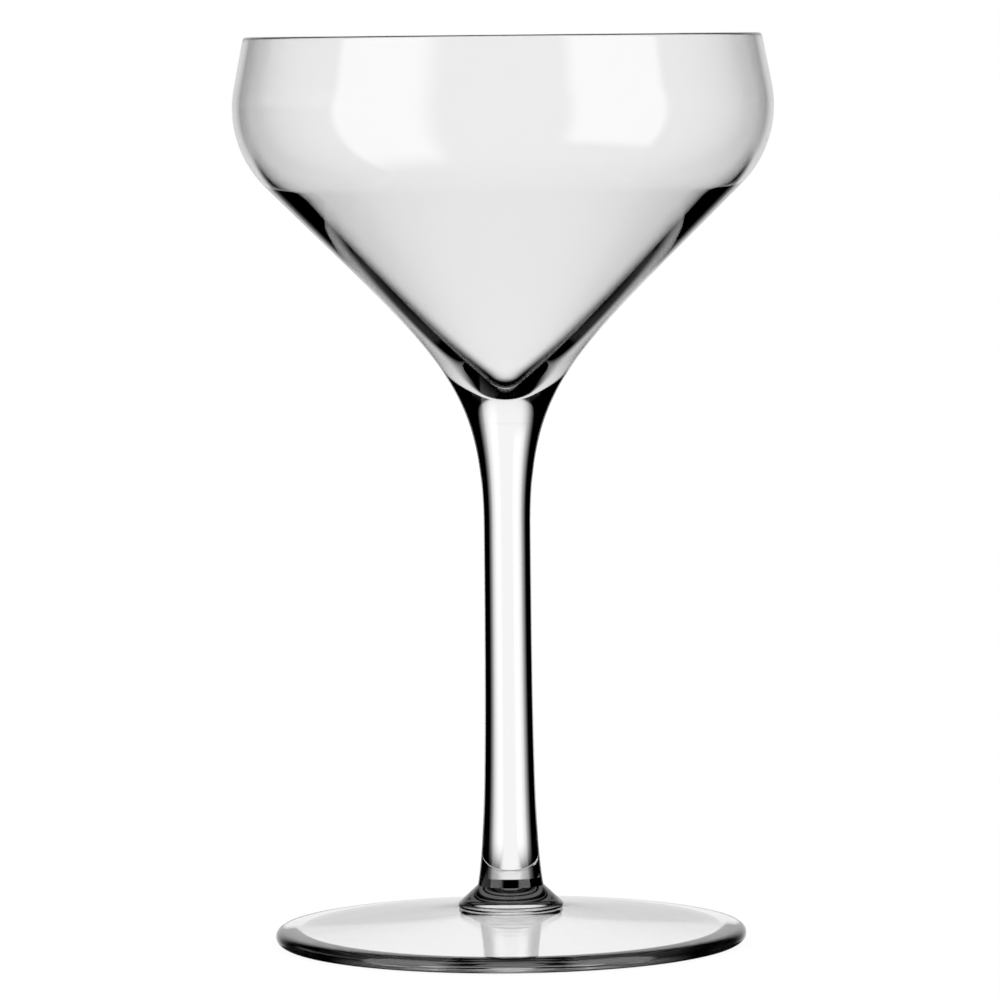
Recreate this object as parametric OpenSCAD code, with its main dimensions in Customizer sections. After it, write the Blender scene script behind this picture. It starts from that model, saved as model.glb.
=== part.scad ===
// Coupe glass: a wide, shallow bowl on a tall solid stem, with a collar and a flat round foot.
// Every piece is a figure of revolution about Z, and Z = 0 is the surface that the glass stands on.
// Sizes are in millimetres and angles in degrees away from upright.
// A pull is the length of the handle that draws a curve along the slope at one of its ends.

/* [Overall] */
// Height from the table to the lip
glass_h = 165; // [137:1:200]

/* [Bowl outside] */
// Widest diameter, at the belly
belly_d = 98; // [92:1:118]
// Height of the lip above the belly
belly_drop = 13; // [10:0.5:18]
// Lean of the side above the belly
side_lean = 11; // [4:1:16]
// Radius of the rounded shoulder under the belly
shoulder_r = 20; // [16:0.5:25]
// Slope of the cone where the shoulder ends
cone_angle = 45; // [40:1:48]
// Pull of the cone on the curve that runs down into the stem
cone_pull = 43; // [34:1:50]

/* [Bowl inside] */
// Wall at the lip, the side and the shoulder
wall_t = 1.4; // [1.2:0.1:2.4]
// Slope of the inside where the shoulder ends
inner_angle = 49.5; // [46:0.5:51]
// Pull of that slope on the cone of the inside
inner_pull = 32; // [12:1:34]
// Depth of the inside, from the lip to its lowest point
bowl_depth = 64.7; // [60:0.1:67]
// Radius of the round bottom
bottom_r = 5; // [3:0.2:8]
// Slope of the inside where the round bottom begins
bottom_angle = 48.5; // [40:0.5:50]
// Pull of that slope on the cone of the inside
bottom_pull = 12; // [8:1:24]

/* [Stem] */
// Thinnest diameter, at the waist
waist_d = 8.6; // [6:0.2:12]
// Height of the lip above the waist
waist_drop = 89.4; // [84:0.2:98]
// Pull of the upright waist on the curve up into the bowl
waist_pull_up = 27; // [20:1:32]
// Pull of the upright waist on the taper down to the collar
waist_pull_down = 35; // [20:1:40]
// Diameter of the lower end, where the stem stands on the collar
stem_end_d = 12; // [10:0.2:15]
// Slope of the stem at its lower end
stem_end_angle = 11; // [4:1:16]
// Pull of that slope on the taper
stem_end_pull = 8; // [4:1:12]

/* [Seat of the bowl in the stem] */
// Depth of the lowest point of the seat below the lip
seat_drop = 70; // [68:0.5:84]
// Radius of the round seat
seat_r = 26; // [20:1:34]
// Height above that point at which the seat has reached the outside
seat_rim_h = 5; // [4:0.5:7]

/* [Collar] */
// Height of the collar, between the foot and the stem
collar_h = 4.2; // [3:0.1:6]
// Diameter of the collar on the foot
collar_d = 19.2; // [16:0.2:24]
// Radius of the rounded lower edge of the collar
collar_edge_r = 0.6; // [0.3:0.1:1]

/* [Foot] */
// Diameter of the foot
foot_d = 85.8; // [70:0.2:104]
// Thickness of the foot at its rounded edge
foot_edge_t = 2.8; // [2:0.1:3.6]
// Height of the flat land under the collar
foot_h = 6.2; // [5.2:0.1:8]
// Width of the flat ring that the foot stands on
ring_w = 3; // [2:0.5:8]
// Rise of the underside from the ring towards the middle, away from level
hollow_slope = 6; // [2:0.5:7]
// Radius at which the rise goes over into the round middle
hollow_mid_r = 9.6; // [6:0.2:14]

/* [Hidden] */
$fn = 160;
glass_tint = "lightgray";

// Straight steps in a short arc and in a long curve of an outline
arc_steps = 18;
curve_steps = 40;

// Heights that the pieces share
belly_z = glass_h - belly_drop;
waist_z = glass_h - waist_drop;
seat_z = glass_h - seat_drop;
collar_top_z = foot_h + collar_h;

// Centre of the shoulder's arc, which the inside and the outside share
shoulder_c = [belly_d / 2 - shoulder_r, belly_z];
shoulder_end = shoulder_c + shoulder_r * heading(-cone_angle);
inner_r = shoulder_r - wall_t;
inner_end = shoulder_c + inner_r * heading(-inner_angle);

// Round bottom of the inside, on the axis
bottom_c = [0, glass_h - bowl_depth + bottom_r];
bottom_edge = bottom_c + bottom_r * heading(-bottom_angle);

// Centre of the half-round lip, on the middle of the leaning wall
lip_r = wall_t / 2;
lip_foot = shoulder_c + (shoulder_r - lip_r) * heading(side_lean);
lip_rise = glass_h - lip_r - lip_foot.y;
lip_c = lip_foot + [-lip_rise * tan(side_lean), lip_rise];

waist = [waist_d / 2, waist_z];
stem_end = [stem_end_d / 2, collar_top_z];

// Underside of the foot
foot_edge_r = foot_edge_t / 2;
foot_edge_c = [foot_d / 2 - foot_edge_r, foot_edge_r];
ring_in_r = foot_edge_c.x - ring_w;
hollow_rise = (ring_in_r - hollow_mid_r) * tan(hollow_slope);
dome_r = hollow_mid_r / sin(hollow_slope);
dome_c = [0, hollow_rise - dome_r * cos(hollow_slope)];

// Unit vector at an angle above the radius
function heading(a) = [cos(a), sin(a)];

// Unit vector that runs down and inwards at a slope away from upright
function downhill(slope) = [-sin(slope), -cos(slope)];

// Points of an arc about c, from angle a to angle b
function arc_points(c, r, a, b) =
    [for (i = [0 : arc_steps]) c + r * heading(a + (b - a) * i / arc_steps)];

// Points of the cubic curve from p0 to p3, drawn towards p1 and p2
function curve_points(p0, p1, p2, p3) =
    [for (i = [0 : curve_steps])
        let (t = i / curve_steps, u = 1 - t)
        u ^ 3 * p0 + 3 * u ^ 2 * t * p1 + 3 * u * t ^ 2 * p2 + t ^ 3 * p3];

// Angle at which a line from p touches the upper right of a circle about c
function touch_angle(p, c, r) = atan2(p.y - c.y, p.x - c.x) - acos(r / norm(p - c));

// Outline of bowl and stem together, up the outside, round the lip and down the inside
module body_outline() {
    taper = curve_points(
        stem_end,
        stem_end - stem_end_pull * downhill(-stem_end_angle),
        waist - [0, waist_pull_down],
        waist
    );
    flare = curve_points(
        waist,
        waist + [0, waist_pull_up],
        shoulder_end + cone_pull * downhill(cone_angle),
        shoulder_end
    );
    inside = curve_points(
        inner_end,
        inner_end + inner_pull * downhill(inner_angle),
        bottom_edge - bottom_pull * downhill(bottom_angle),
        bottom_edge
    );
    polygon(concat(
        [[0, collar_top_z]],
        taper,
        flare,
        arc_points(shoulder_c, shoulder_r, -cone_angle, side_lean),
        arc_points(lip_c, lip_r, side_lean, side_lean + 180),
        arc_points(shoulder_c, inner_r, side_lean, -inner_angle),
        inside,
        arc_points(bottom_c, bottom_r, -bottom_angle, -90)
    ));
}

// Everything above the round seat on which the bowl rests in the stem
module above_seat() {
    translate([0, seat_z + seat_r])
        circle(seat_r);
    translate([0, seat_z + seat_rim_h])
        square([belly_d, glass_h]);
}

// Thin-walled bowl with a thick round bottom
module bowl() {
    color(glass_tint)
        rotate_extrude()
            intersection() {
                body_outline();
                above_seat();
            }
}

// Solid stem with a cupped head for the bowl
module stem() {
    color(glass_tint)
        rotate_extrude()
            difference() {
                body_outline();
                above_seat();
            }
}

// Short cone between the end of the stem and the land of the foot
module collar() {
    edge_c = [collar_d / 2 - collar_edge_r, foot_h + collar_edge_r];
    color(glass_tint)
        rotate_extrude()
            polygon(concat(
                [[0, foot_h]],
                arc_points(edge_c, collar_edge_r, -90, touch_angle(stem_end, edge_c, collar_edge_r)),
                [stem_end, [0, collar_top_z]]
            ));
}

// Thin round foot, a flat cone above and below, on a ring near its rounded edge
module foot() {
    land_edge = [collar_d / 2, foot_h];
    color(glass_tint)
        rotate_extrude()
            polygon(concat(
                arc_points(dome_c, dome_r, 90, 90 - hollow_slope),
                [[ring_in_r, 0]],
                arc_points(foot_edge_c, foot_edge_r, -90, touch_angle(land_edge, foot_edge_c, foot_edge_r)),
                [land_edge, [0, foot_h]]
            ));
}

bowl();
stem();
collar();
foot();
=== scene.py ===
# %% [markdown]
# # A coupe glass in four pieces
# A coupe is a shallow glass on a tall stem. This one is clear and colourless, and it is made of four
# pieces that a glassworks fuses together hot: the bowl, the stem, the collar and the foot.
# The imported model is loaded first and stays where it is. Every visible piece is then built in its place,
# and all of them ride on the one body that a glass has.

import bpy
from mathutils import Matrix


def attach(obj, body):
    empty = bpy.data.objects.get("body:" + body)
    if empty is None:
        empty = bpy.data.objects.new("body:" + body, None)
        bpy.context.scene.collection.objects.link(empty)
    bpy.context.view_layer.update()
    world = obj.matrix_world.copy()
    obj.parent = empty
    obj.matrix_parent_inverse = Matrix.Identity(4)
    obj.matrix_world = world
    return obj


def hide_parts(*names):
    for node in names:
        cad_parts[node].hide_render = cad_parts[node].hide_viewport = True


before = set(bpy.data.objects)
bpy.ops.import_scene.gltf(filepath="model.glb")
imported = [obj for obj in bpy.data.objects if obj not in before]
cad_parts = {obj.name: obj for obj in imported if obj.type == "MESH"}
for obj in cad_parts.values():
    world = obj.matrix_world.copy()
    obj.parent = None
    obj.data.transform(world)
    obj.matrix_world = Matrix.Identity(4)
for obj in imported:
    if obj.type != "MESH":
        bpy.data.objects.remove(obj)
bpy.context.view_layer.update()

# %% Tools and units
import math

import bpy
import numpy as np
from mathutils import Matrix

MM = 0.001
scene = bpy.context.scene
scene.view_settings.view_transform = "Standard"

# %% [markdown]
# ## Drawing half an outline
# A glass is turned, so half of its outline is enough. Each stretch of the outline is a round arc or one
# smooth cubic curve, because that is how a maker's mould is drawn. Points could be typed in one by one,
# but a curve with a few handles stays smooth however finely it is cut, and glass shows every dent.

# %% Arcs and curves as arrays of (radius, height) in millimetres
def heading(angle):
    """Unit vector (cos a, sin a) at an angle in degrees above the radius."""
    return np.array([math.cos(math.radians(angle)), math.sin(math.radians(angle))])


def downhill(slope):
    """Unit vector (-sin s, -cos s) that runs down and inwards, s degrees away from upright."""
    return np.array([-math.sin(math.radians(slope)), -math.cos(math.radians(slope))])


def arc(centre, radius, start, stop, steps):
    """Points centre + radius (cos a, sin a) for a evenly from start to stop, in degrees."""
    angle = np.radians(np.linspace(start, stop, steps + 1))
    return np.asarray(centre) + radius * np.stack([np.cos(angle), np.sin(angle)], axis=1)


def curve(p0, p1, p2, p3, t):
    """Cubic curve u^3 p0 + 3 u^2 t p1 + 3 u t^2 p2 + t^3 p3, with u = 1 - t, at the values t."""
    t = np.asarray(t)[:, None]
    u = 1.0 - t
    p0, p1, p2, p3 = (np.asarray(p, float) for p in (p0, p1, p2, p3))
    return u**3 * p0 + 3 * u**2 * t * p1 + 3 * u * t**2 * p2 + t**3 * p3


def straight(p0, p1, steps):
    """Points evenly along the line p0 + t (p1 - p0)."""
    t = np.linspace(0.0, 1.0, steps + 1)[:, None]
    return np.asarray(p0) + t * (np.asarray(p1) - np.asarray(p0))


# %% [markdown]
# ## Turning the outline
# A lathe surface takes the outline once round the axis. Blender has a Screw modifier for this, but an
# array gives control of the two poles, of which way the faces look, and of which faces are glass and
# which are the seam where two pieces were fused. The grid is fine, because light is bent by the slope
# of the surface, and a coarse facet would show as a speck in the dark edge of the stem.

# %% A closed surface of revolution
SEGMENTS = 320
CREASE_ANGLE = 20.0
GLASS, SEAM = 0, 1


def turned_piece(name, stretches):
    """Closed mesh (r(u) cos v, r(u) sin v, z(u)) from stretches of outline that start and end on the axis.

    A stretch is (points, slot). The strip that leads to a point takes the slot of the point's stretch.
    The first and last points lie on the axis and become single pole vertices.
    """
    points = np.concatenate([p if i == 0 else p[1:] for i, (p, _) in enumerate(stretches)]) * MM
    slots = np.concatenate([np.full(len(p) - 1, s) for p, s in stretches])
    rings = points[1:-1]
    v = np.linspace(0.0, 2.0 * np.pi, SEGMENTS, endpoint=False)
    r, z = rings[:, :1], rings[:, 1:]
    grid = np.stack([r * np.cos(v), r * np.sin(v), np.broadcast_to(z, (len(rings), SEGMENTS))], axis=2)
    poles = np.array([[0.0, 0.0, points[0, 1]], [0.0, 0.0, points[-1, 1]]])
    vertices = np.concatenate([grid.reshape(-1, 3), poles])
    low_pole, high_pole = len(vertices) - 2, len(vertices) - 1

    j = np.arange(SEGMENTS)
    k = (j + 1) % SEGMENTS
    row = (np.arange(len(rings) - 1) * SEGMENTS)[:, None]
    quads = np.stack([row + j, row + k, row + SEGMENTS + k, row + SEGMENTS + j], axis=2).reshape(-1, 4)
    last = (len(rings) - 1) * SEGMENTS
    low_fan = np.stack([np.full(SEGMENTS, low_pole), k, j], axis=1)
    high_fan = np.stack([last + j, last + k, np.full(SEGMENTS, high_pole)], axis=1)

    mesh = bpy.data.meshes.new(name)
    mesh.from_pydata(vertices.tolist(), [], low_fan.tolist() + quads.tolist() + high_fan.tolist())
    mesh.polygons.foreach_set("material_index", np.repeat(slots, SEGMENTS).astype(np.int32))
    mesh.shade_smooth()
    mesh.set_sharp_from_angle(angle=math.radians(CREASE_ANGLE))
    mesh.update()
    piece = bpy.data.objects.new(name, mesh)
    scene.collection.objects.link(piece)
    triangles = 2 * len(quads) + 2 * SEGMENTS
    top = points[:, 1].max() / MM
    print(f"{name}: {len(points)} outline points, {triangles} triangles, top at {top:.1f} mm")
    return piece


# %% [markdown]
# ## Sizes that the pieces share
# The lip is 165 mm above the table and the belly is 98 mm wide. The shoulder is one round arc, the side
# above it leans in a little, and below it a cone sweeps down into the stem on one long curve. The stem is
# slimmest at its waist and spreads again towards the collar. The same values set both sides of each seat,
# so that no gap opens between two pieces.

# %% Shared sizes, in millimetres and degrees
LIP_Z = 165.0
BELLY = np.array([49.0, LIP_Z - 13.0])
SIDE_LEAN = 11.0
SHOULDER_R = 20.0
CONE_ANGLE = 45.0
CONE_PULL = 43.0
WAIST = np.array([4.3, LIP_Z - 89.4])
WAIST_PULL_UP = 27.0
SEAT_Z = LIP_Z - 70.0
SEAT_R = 26.0
FOOT_H = 6.2
COLLAR_R = 9.6
STEM_END = np.array([6.0, FOOT_H + 4.2])

shoulder_c = BELLY - [SHOULDER_R, 0.0]
shoulder_end = shoulder_c + SHOULDER_R * heading(-CONE_ANGLE)
flare = (WAIST, WAIST + [0.0, WAIST_PULL_UP], shoulder_end + CONE_PULL * downhill(CONE_ANGLE), shoulder_end)
print("shoulder runs out at radius %.1f, height %.1f" % tuple(shoulder_end))

# %% [markdown]
# ## The seat between bowl and stem
# The bowl's thick round bottom rests in a shallow cup in the head of the stem. The cup is part of a ball,
# and the place where the ball comes out at the side is where the outline of the stem ends and the outline
# of the bowl begins. It is found on a finely cut copy of the curve.

# %% Where the seat meets the outside
SEAT_STEPS = 12
FINE_STEPS = 4000

fine_t = np.linspace(0.0, 1.0, FINE_STEPS + 1)
fine = curve(*flare, fine_t)
seat_c = np.array([0.0, SEAT_Z + SEAT_R])
inside_ball = np.hypot(*(fine - seat_c).T) < SEAT_R
seat_t = fine_t[np.argmax(inside_ball)]
seat_rim = curve(*flare, [seat_t])[0]
rim_angle = math.degrees(math.atan2(seat_rim[1] - seat_c[1], seat_rim[0]))
seat = arc(seat_c, SEAT_R, -90.0, rim_angle, SEAT_STEPS)
seat[0, 0] = 0.0
print("seat meets the outside at radius %.2f, height %.2f" % tuple(seat_rim))

# %% [markdown]
# ## The bowl
# The bowl is a thin-walled cup. Its lip is a half-round, as the flame leaves it when the cut rim is
# polished. The wall is even down to the shoulder and grows thicker along the cone, until the inside ends
# in a small round bottom above the seat. The inside could be an even offset of the outside, but the dark
# band along the cone shows that the wall isn't even there, so the inside has its own curve.

# %% Bowl: seat, cone, shoulder, side, lip, and down the inside
WALL = 1.4
INNER_ANGLE = 49.5
INNER_PULL = 32.0
BOTTOM_R = 5.0
BOTTOM_ANGLE = 48.5
BOTTOM_PULL = 12.0
BOTTOM_Z = LIP_Z - 64.7
CONE_STEPS = 70
SHOULDER_STEPS = 36
LIP_STEPS = 24
SIDE_STEPS = 10
INNER_SHOULDER_STEPS = 40
INNER_CONE_STEPS = 60
BOTTOM_STEPS = 20

lip_r = WALL / 2
lip_foot = shoulder_c + (SHOULDER_R - lip_r) * heading(SIDE_LEAN)
lip_rise = LIP_Z - lip_r - lip_foot[1]
lip_c = lip_foot + [-lip_rise * math.tan(math.radians(SIDE_LEAN)), lip_rise]
inner_r = SHOULDER_R - WALL
inner_end = shoulder_c + inner_r * heading(-INNER_ANGLE)
bottom_c = np.array([0.0, BOTTOM_Z + BOTTOM_R])
bottom_edge = bottom_c + BOTTOM_R * heading(-BOTTOM_ANGLE)

cone = curve(*flare, np.linspace(seat_t, 1.0, CONE_STEPS + 1))
shoulder = arc(shoulder_c, SHOULDER_R, -CONE_ANGLE, SIDE_LEAN, SHOULDER_STEPS)
lip = arc(lip_c, lip_r, SIDE_LEAN, SIDE_LEAN + 180.0, LIP_STEPS)
inner_shoulder = arc(shoulder_c, inner_r, SIDE_LEAN, -INNER_ANGLE, INNER_SHOULDER_STEPS)
inner_cone = curve(
    inner_end,
    inner_end + INNER_PULL * downhill(INNER_ANGLE),
    bottom_edge - BOTTOM_PULL * downhill(BOTTOM_ANGLE),
    bottom_edge,
    np.linspace(0.0, 1.0, INNER_CONE_STEPS + 1),
)
bottom = arc(bottom_c, BOTTOM_R, -BOTTOM_ANGLE, -90.0, BOTTOM_STEPS)
bottom[-1, 0] = 0.0
bowl = turned_piece("glass_bowl", [
    (seat, SEAM),
    (cone, GLASS),
    (shoulder, GLASS),
    (straight(shoulder[-1], lip[0], SIDE_STEPS), GLASS),
    (lip, GLASS),
    (straight(lip[-1], inner_shoulder[0], SIDE_STEPS), GLASS),
    (inner_shoulder, GLASS),
    (inner_cone, GLASS),
    (bottom, GLASS),
])
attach(bowl, "root")
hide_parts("bowl")

# %% [markdown]
# ## The stem
# The stem is a solid rod, pulled hot, so it has no straight part: it narrows from the cupped head to the
# waist and spreads again to its lower end. Two cubic curves with an upright handle at the waist give that
# without a kink.

# %% Stem: lower end, taper, flare, and the cup of the seat
WAIST_PULL_DOWN = 35.0
STEM_END_ANGLE = 11.0
STEM_END_PULL = 8.0
TAPER_STEPS = 80
FLARE_STEPS = 60
FLAT_STEPS = 6

taper = curve(
    STEM_END,
    STEM_END - STEM_END_PULL * downhill(-STEM_END_ANGLE),
    WAIST - [0.0, WAIST_PULL_DOWN],
    WAIST,
    np.linspace(0.0, 1.0, TAPER_STEPS + 1),
)
stem = turned_piece("glass_stem", [
    (straight([0.0, STEM_END[1]], STEM_END, FLAT_STEPS), SEAM),
    (taper, GLASS),
    (curve(*flare, np.linspace(0.0, seat_t, FLARE_STEPS + 1)), GLASS),
    (seat[::-1], SEAM),
])
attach(stem, "root")
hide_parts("stem")

# %% [markdown]
# ## The collar
# A short cone of glass joins the stem to the foot. It has a hard edge at the top, where the stem stands
# on it, and a small round one at the bottom. The line of the cone has to touch that round edge, so the
# angle at which it does is worked out.

# %% Collar: land, round edge, cone
COLLAR_EDGE_R = 0.6
COLLAR_STEPS = 16


def touch_angle(point, centre, radius):
    """Angle in degrees at which a line from the point touches the upper right of a circle.

    It is atan2(p - c) - acos(r / |p - c|) for the point p and the centre c.
    """
    away = np.asarray(point) - np.asarray(centre)
    return math.degrees(math.atan2(away[1], away[0]) - math.acos(radius / np.hypot(*away)))


collar_edge_c = np.array([COLLAR_R - COLLAR_EDGE_R, FOOT_H + COLLAR_EDGE_R])
collar_touch = touch_angle(STEM_END, collar_edge_c, COLLAR_EDGE_R)
collar_edge = arc(collar_edge_c, COLLAR_EDGE_R, -90.0, collar_touch, COLLAR_STEPS)
collar = turned_piece("glass_collar", [
    (straight([0.0, FOOT_H], collar_edge[0], FLAT_STEPS), SEAM),
    (collar_edge, GLASS),
    (straight(collar_edge[-1], STEM_END, COLLAR_STEPS), GLASS),
    (straight(STEM_END, [0.0, STEM_END[1]], FLAT_STEPS), SEAM),
])
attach(collar, "root")
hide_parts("collar")

# %% [markdown]
# ## The foot
# The foot is a thin disc that slopes gently from the collar to a rounded edge. It is pressed or spun as a
# very flat cone, so its underside runs parallel to its top: it stands on a flat ring near the edge, doesn't
# rock, and one sees straight through it. A flat underside would be simpler, but seen this low it would
# turn into a mirror.

# %% Foot: round middle of the hollow, its cone, standing ring, round edge, slope, land
FOOT_R = 42.9
FOOT_EDGE_R = 1.4
RING_W = 3.0
HOLLOW_SLOPE = 6.0
HOLLOW_MID_R = 9.6
DOME_STEPS = 12
SLOPE_STEPS = 40
RING_STEPS = 4
FOOT_EDGE_STEPS = 30
LAND_STEPS = 2

foot_edge_c = np.array([FOOT_R - FOOT_EDGE_R, FOOT_EDGE_R])
ring_in = np.array([foot_edge_c[0] - RING_W, 0.0])
cone_rise = (ring_in[0] - HOLLOW_MID_R) * math.tan(math.radians(HOLLOW_SLOPE))
dome_r = HOLLOW_MID_R / math.sin(math.radians(HOLLOW_SLOPE))
dome_c = np.array([0.0, cone_rise - dome_r * math.cos(math.radians(HOLLOW_SLOPE))])
dome = arc(dome_c, dome_r, 90.0, 90.0 - HOLLOW_SLOPE, DOME_STEPS)
dome[0, 0] = 0.0
land_edge = np.array([COLLAR_R, FOOT_H])
collar_land = collar_edge[0]
foot_touch = touch_angle(land_edge, foot_edge_c, FOOT_EDGE_R)
foot_edge = arc(foot_edge_c, FOOT_EDGE_R, -90.0, foot_touch, FOOT_EDGE_STEPS)
foot = turned_piece("glass_foot", [
    (dome, GLASS),
    (straight(dome[-1], ring_in, SLOPE_STEPS), GLASS),
    (straight(ring_in, foot_edge[0], RING_STEPS), GLASS),
    (foot_edge, GLASS),
    (straight(foot_edge[-1], land_edge, SLOPE_STEPS), GLASS),
    (straight(land_edge, collar_land, LAND_STEPS), GLASS),
    (straight(collar_land, [0.0, FOOT_H], FLAT_STEPS), SEAM),
])
print("hollow under the foot is %.2f mm deep" % dome[0, 1])
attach(foot, "root")
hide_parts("foot")

# %% [markdown]
# ## Clear glass, fire-polished
# Table glass is soda-lime or lead-free crystal: colourless, with an index of refraction near 1.52. Fire
# polishing leaves it so smooth that only a slow waviness of a few millimetres remains. A plain clear
# shader would look too perfect, so a faint wave goes into the normal, and a touch of haze from washing
# goes into the roughness.

# %% Helpers for node trees and colours
def add_node(tree, kind, inputs=None, **settings):
    """Adds a node, sets its properties, and fills or links its inputs by name or number."""
    node = tree.nodes.new(kind)
    for key, value in settings.items():
        setattr(node, key, value)
    for key, value in (inputs or {}).items():
        if isinstance(value, bpy.types.NodeSocket):
            tree.links.new(value, node.inputs[key])
        else:
            node.inputs[key].default_value = value
    return node


def linear(hex_colour):
    """sRGB hex to linear RGBA: c / 12.92 below 0.04045, else ((c + 0.055) / 1.055)^2.4."""
    c = np.array([int(hex_colour[i:i + 2], 16) for i in (1, 3, 5)]) / 255
    rgb = np.where(c <= 0.04045, c / 12.92, ((c + 0.055) / 1.055) ** 2.4)
    return (*rgb.tolist(), 1.0)


# %% Fire-polished clear glass
GLASS_IOR = 1.52
WAVE_MM = 9.0
WAVE_HEIGHT_MM = 0.004
HAZE_MM = 3.0
HAZE_MOST = 0.012

clear_glass = bpy.data.materials.new("clear_glass_fire_polished")
clear_glass.use_nodes = True
tree = clear_glass.node_tree
tree.nodes.clear()
place = add_node(tree, "ShaderNodeTexCoord").outputs["Object"]
wave = add_node(tree, "ShaderNodeTexNoise", {
    "Vector": place, "Scale": 1 / (WAVE_MM * MM), "Detail": 1.0, "Roughness": 0.3,
})
wavy = add_node(tree, "ShaderNodeBump", {
    "Strength": 1.0, "Distance": WAVE_HEIGHT_MM * MM, "Height": wave.outputs["Fac"],
})
film = add_node(tree, "ShaderNodeTexNoise", {
    "Vector": place, "Scale": 1 / (HAZE_MM * MM), "Detail": 3.0, "Roughness": 0.6,
})
haze = add_node(tree, "ShaderNodeMapRange", {
    "Value": film.outputs["Fac"], "From Min": 0.35, "From Max": 0.75, "To Min": 0.0, "To Max": HAZE_MOST,
})
polished = add_node(tree, "ShaderNodeBsdfPrincipled", {
    "Base Color": linear("#ffffff"),
    "Transmission Weight": 1.0,
    "IOR": GLASS_IOR,
    "Roughness": haze.outputs["Result"],
    "Normal": wavy.outputs["Normal"],
})
add_node(tree, "ShaderNodeOutputMaterial", {"Surface": polished.outputs["BSDF"]})

# %% [markdown]
# ## The fused seams
# Where two pieces were fused there is no surface left: light goes straight on from one into the other.
# The pieces stay separate solids, and both have a face there. Giving those faces a fully transparent
# material makes them vanish for the light, and the glass is then optically one piece.

# %% Invisible seam, and both materials on all four pieces
fused_seam = bpy.data.materials.new("fused_seam")
fused_seam.use_nodes = True
tree = fused_seam.node_tree
tree.nodes.clear()
gone = add_node(tree, "ShaderNodeBsdfTransparent", {"Color": linear("#ffffff")})
add_node(tree, "ShaderNodeOutputMaterial", {"Surface": gone.outputs["BSDF"]})
for piece in (bowl, stem, collar, foot):
    piece.data.materials.append(clear_glass)
    piece.data.materials.append(fused_seam)
print("materials:", clear_glass.name, "and", fused_seam.name)

# %% [markdown]
# ## A bright field for glass
# Glass has no colour of its own to light, so it is photographed against light: a white field behind it,
# and darkness beside the field. Rays near the middle of the stem or bowl go through to the white, and
# rays near an edge are bent out to the dark, which draws the outline in black. Lamps could do this too,
# but each would need its own shape and place. Here the surroundings are painted by direction in the
# world, as soft rectangles of light on black.

# %% Directions round the glass: azimuth from the far side, positive to the right, and elevation
world = bpy.data.worlds.new("bright_field")
scene.world = world
world.use_nodes = True
tree = world.node_tree
tree.nodes.clear()
place = add_node(tree, "ShaderNodeTexCoord").outputs["Generated"]
axes = add_node(tree, "ShaderNodeSeparateXYZ", {"Vector": place}).outputs
azimuth = add_node(tree, "ShaderNodeMath", {0: axes["X"], 1: axes["Y"]}, operation="ARCTAN2").outputs[0]
elevation = add_node(tree, "ShaderNodeMath", {0: axes["Z"]}, operation="ARCSINE").outputs[0]
ray = add_node(tree, "ShaderNodeLightPath").outputs


# %% One panel, and the field behind the glass
def panel(left, right, low, high, level=1.0):
    """Soft rectangle of light: the product of a smooth step up or down at each of its four edges.

    Each edge is (where the light begins, where it is full), in degrees.
    """
    light = level
    for angle, edge in ((azimuth, left), (azimuth, right), (elevation, low), (elevation, high)):
        begins, full = (math.radians(e) for e in edge)
        up = begins < full
        step = add_node(tree, "ShaderNodeMapRange", {
            "Value": angle,
            "From Min": begins if up else full,
            "From Max": full if up else begins,
            "To Min": 0.0 if up else 1.0,
            "To Max": 1.0 if up else 0.0,
        }, interpolation_type="SMOOTHSTEP").outputs["Result"]
        light = add_node(tree, "ShaderNodeMath", {0: step, 1: light}, operation="MULTIPLY").outputs[0]
    return light


field = panel((-41.0, -15.0), (41.0, 15.0), (-16.0, -11.0), (46.0, 38.0))
print("nodes in the world after the field:", len(tree.nodes))

# %% [markdown]
# ## A round panel under the field
# The cone of the bowl is a wedge that bends light down by up to 40 degrees. A studio puts a pale card
# there, below the field, and the edge of that card is what draws the dark band along the cone. A square
# card would cut the band off at a corner, so this one is an oval with a soft edge.

# %% Oval card: smooth step on the length of (azimuth / side, (elevation - middle) / up)
CARD_MIDDLE = math.radians(-8.0)
CARD_SIDE = math.radians(14.0)
CARD_UP = math.radians(28.0)
CARD_SOFT = 0.4

across = add_node(tree, "ShaderNodeMath", {0: azimuth, 1: CARD_SIDE}, operation="DIVIDE").outputs[0]
above = add_node(tree, "ShaderNodeMath", {0: elevation, 1: CARD_MIDDLE}, operation="SUBTRACT").outputs[0]
above = add_node(tree, "ShaderNodeMath", {0: above, 1: CARD_UP}, operation="DIVIDE").outputs[0]
offset = add_node(tree, "ShaderNodeCombineXYZ", {"X": across, "Y": above}).outputs[0]
reach = add_node(tree, "ShaderNodeVectorMath", {0: offset}, operation="LENGTH").outputs["Value"]
card = add_node(tree, "ShaderNodeMapRange", {
    "Value": reach,
    "From Min": 1.0 - CARD_SOFT,
    "From Max": 1.0 + CARD_SOFT,
    "To Min": 1.0,
    "To Max": 0.0,
}, interpolation_type="SMOOTHSTEP").outputs["Result"]
field = add_node(tree, "ShaderNodeMath", {0: field, 1: card}, operation="MAXIMUM").outputs[0]

# %% [markdown]
# ## Light that goes the long way round
# Some light is thrown to and fro inside the glass, along the rim of the foot or round the thick bottom of
# the bowl, before it comes out. It has a long way to go, and a little is lost everywhere, so these places
# look dark. An absorbing volume would take light from the short ways too, so the loss is counted here by
# how often a ray has been turned back.

# %% Share of the field that is left after n turns: 1 / (1 + loss n^3), but not less than the least
TURN_LOSS = 0.2
TURN_POWER = 3.0
LEAST = 0.12

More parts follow.
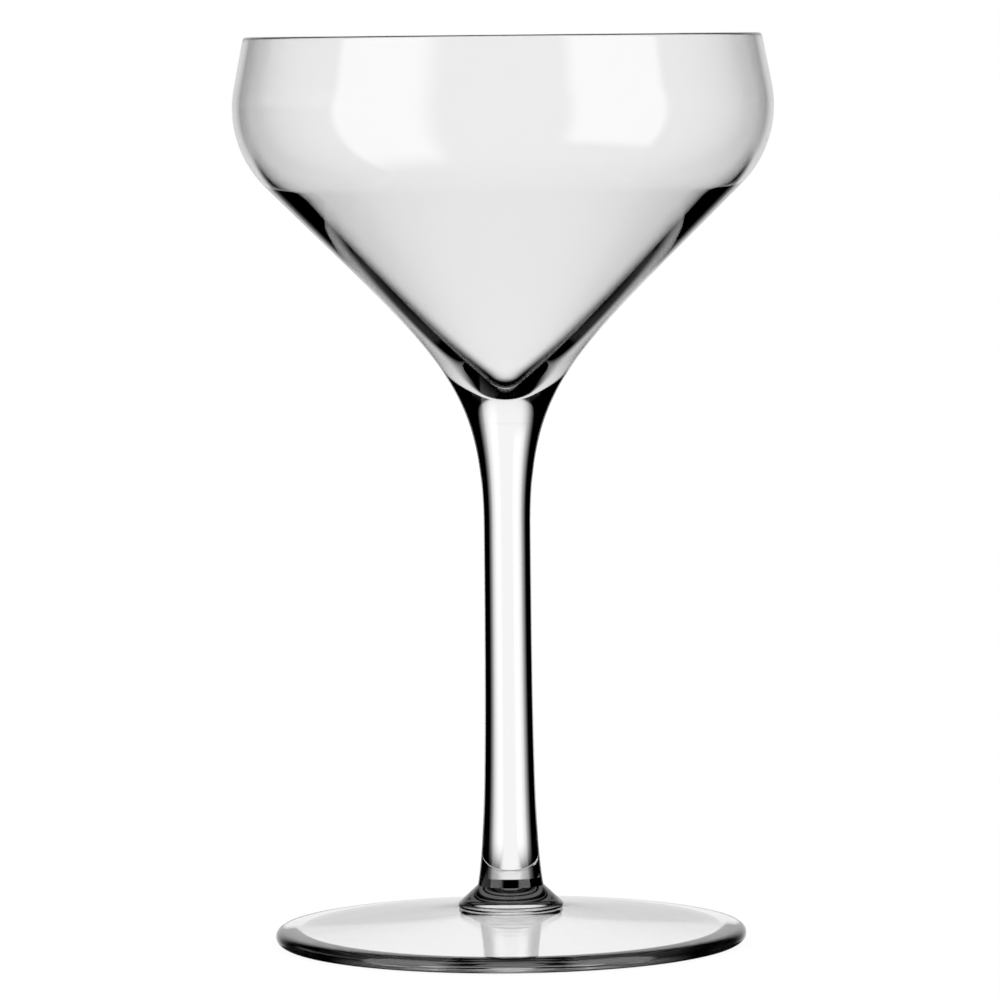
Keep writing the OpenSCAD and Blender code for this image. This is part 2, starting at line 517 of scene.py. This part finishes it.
turned = ray["Glossy Depth"]
loss = add_node(tree, "ShaderNodeMath", {0: turned, 1: TURN_POWER}, operation="POWER").outputs[0]
loss = add_node(tree, "ShaderNodeMath", {0: loss, 1: TURN_LOSS, 2: 1.0}, operation="MULTIPLY_ADD").outputs[0]
kept = add_node(tree, "ShaderNodeMath", {0: 1.0, 1: loss}, operation="DIVIDE").outputs[0]
kept = add_node(tree, "ShaderNodeMath", {0: kept, 1: LEAST}, operation="MAXIMUM").outputs[0]
field = add_node(tree, "ShaderNodeMath", {0: field, 1: kept}, operation="MULTIPLY").outputs[0]

# %% [markdown]
# ## Soft boxes and white boards
# Two soft boxes stand in front, left and right, and show as pale windows on the outside of the bowl; a
# dim one at the side lights the foot. They are for rays that haven't been inside the glass. White boards
# stand at some places round about and below, so that the glass is clear from most other sides too. Those
# below stand for the white table, but leave out the part that would fill the black V at the bottom of
# the bowl. They are for rays that go straight through, and the last of them only for rays that have
# crossed a single wall. Without these limits each light would come back as a bright speck in the dark
# edges.

# %% Which rays a light is for: outside the glass, straight through it, or through one wall of it
NOT_ONCE = 0.5
NOT_THRICE = 2.5

crossed = ray["Transmission Depth"]
outside = add_node(tree, "ShaderNodeMath", {0: crossed, 1: NOT_ONCE}, operation="LESS_THAN").outputs[0]
through = add_node(tree, "ShaderNodeMath", {0: turned, 1: NOT_ONCE}, operation="LESS_THAN").outputs[0]
one_wall = add_node(tree, "ShaderNodeMath", {0: crossed, 1: NOT_THRICE}, operation="LESS_THAN").outputs[0]
one_wall = add_node(tree, "ShaderNodeMath", {0: one_wall, 1: through}, operation="MULTIPLY").outputs[0]

# %% Soft boxes first, then boards; an edge past the full circle leaves a panel open on that side
OPEN_LEFT = (-400.0, -300.0)
OPEN_RIGHT = (400.0, 300.0)
OPEN_BELOW = (-200.0, -100.0)

lights = (
    (panel((-156.0, -140.0), (-100.0, -106.0), (-62.0, -38.0), (55.0, 45.0), level=2.6), outside),
    (panel((104.0, 110.0), (156.0, 146.0), (-38.0, -28.0), (55.0, 45.0), level=2.6), outside),
    (panel((-135.0, -120.0), (-45.0, -60.0), (0.0, 3.0), (18.0, 13.0), level=0.5), outside),
    (panel((-114.0, -104.0), (-66.0, -76.0), (-14.0, -10.0), (9.0, 5.0)), through),
    (panel((66.0, 76.0), (114.0, 104.0), (-14.0, -10.0), (9.0, 5.0)), through),
    (panel((142.0, 152.0), OPEN_RIGHT, (-14.0, -10.0), (9.0, 5.0)), through),
    (panel(OPEN_LEFT, (-142.0, -152.0), (-14.0, -10.0), (9.0, 5.0)), through),
    (panel((103.0, 112.0), (167.0, 158.0), (-36.0, -30.0), (-1.0, -6.0)), through),
    (panel((-72.0, -62.0), (-40.0, -43.0), (-58.0, -50.0), (-22.0, -26.0)), through),
    (panel(OPEN_LEFT, OPEN_RIGHT, OPEN_BELOW, (-74.0, -82.0)), through),
    (panel((30.0, 38.0), OPEN_RIGHT, OPEN_BELOW, (-40.0, -48.0)), through),
    (panel(OPEN_LEFT, (-30.0, -38.0), OPEN_BELOW, (-40.0, -48.0)), through),
    (panel((-72.0, -62.0), (-24.0, -34.0), (-70.0, -60.0), (-16.5, -19.5)), one_wall),
)
for light, rays in lights:
    shown = add_node(tree, "ShaderNodeMath", {0: light, 1: rays}, operation="MULTIPLY").outputs[0]
    field = add_node(tree, "ShaderNodeMath", {0: field, 1: shown}, operation="MAXIMUM").outputs[0]

# %% The plain white backdrop, for the camera and for matt surfaces
by_camera, by_matt = ray["Is Camera Ray"], ray["Is Diffuse Ray"]
plain = add_node(tree, "ShaderNodeMath", {0: by_camera, 1: by_matt}, operation="MAXIMUM").outputs[0]
shown = add_node(tree, "ShaderNodeMath", {0: plain, 1: field}, operation="MAXIMUM").outputs[0]
glow = add_node(tree, "ShaderNodeBackground", {"Color": linear("#ffffff"), "Strength": shown})
add_node(tree, "ShaderNodeOutputWorld", {"Surface": glow.outputs["Background"]})
print("lights in the world:", len(lights) + 2)

# %% [markdown]
# ## The table
# The glass stands on a plain white table that runs out to a white background. For the camera the table
# glows a little below white, and its matt surface adds the rest, so that the soft shadow of the glass
# stays on it. Rays that come out of the glass look past the table to the panels, because a bright table
# would show up in the cone of the bowl as a second field.

# %% Table: a level disc
TABLE_R = 8.0
TABLE_DROP = 0.0001
TABLE_SEGMENTS = 128

v = np.linspace(0.0, 2.0 * np.pi, TABLE_SEGMENTS, endpoint=False)
edge = np.stack([TABLE_R * np.cos(v), TABLE_R * np.sin(v), np.full(TABLE_SEGMENTS, -TABLE_DROP)], axis=1)
table_mesh = bpy.data.meshes.new("table")
table_mesh.from_pydata(edge.tolist(), [], [list(range(TABLE_SEGMENTS))])
table = bpy.data.objects.new("table", table_mesh)
scene.collection.objects.link(table)
table.visible_transmission = False
table.visible_glossy = False

# %% Matt white: mostly glow for the camera, the rest a matt surface that takes the shadow
GLOW = 0.92
GLOW_LEVEL = 1.015

table_white = bpy.data.materials.new("matt_white_table")
table_white.use_nodes = True
tree = table_white.node_tree
tree.nodes.clear()
seen = add_node(tree, "ShaderNodeLightPath").outputs["Is Camera Ray"]
level = add_node(tree, "ShaderNodeMath", {0: seen, 1: GLOW_LEVEL}, operation="MULTIPLY").outputs[0]
light = add_node(tree, "ShaderNodeEmission", {"Color": linear("#ffffff"), "Strength": level}).outputs[0]
matt = add_node(tree, "ShaderNodeBsdfDiffuse", {"Color": linear("#f4f4f4")}).outputs[0]
mixed = add_node(tree, "ShaderNodeMixShader", {"Fac": GLOW, 1: matt, 2: light}).outputs[0]
add_node(tree, "ShaderNodeOutputMaterial", {"Surface": mixed})
table_mesh.materials.append(table_white)

# %% [markdown]
# ## Camera
# The photo looks as if taken from about 1.2 m with a long lens, level with the lip, tilted a little
# down and turned slightly on its axis. Those are set here, and light is allowed to bounce often enough
# to find its way out of the thick bottom of the bowl.

# %% Camera and bounces
LENS_PX = 6512.0
IMAGE_PX = 1000.0
CAMERA_AT = (-0.00125, -1.180, 0.165)
PITCH = 4.087
ROLL = 0.577
SENSOR_MM = 36.0
BOUNCES = 32

camera_data = bpy.data.cameras.new("camera")
camera_data.sensor_width = SENSOR_MM
camera_data.lens = LENS_PX / IMAGE_PX * SENSOR_MM
camera = bpy.data.objects.new("camera", camera_data)
scene.collection.objects.link(camera)
camera.matrix_world = (
    Matrix.Translation(CAMERA_AT)
    @ Matrix.Rotation(math.radians(90.0 - PITCH), 4, "X")
    @ Matrix.Rotation(math.radians(-ROLL), 4, "Z")
)
scene.camera = camera
scene.cycles.max_bounces = BOUNCES
scene.cycles.transmission_bounces = BOUNCES
scene.cycles.glossy_bounces = BOUNCES
scene.cycles.transparent_max_bounces = BOUNCES
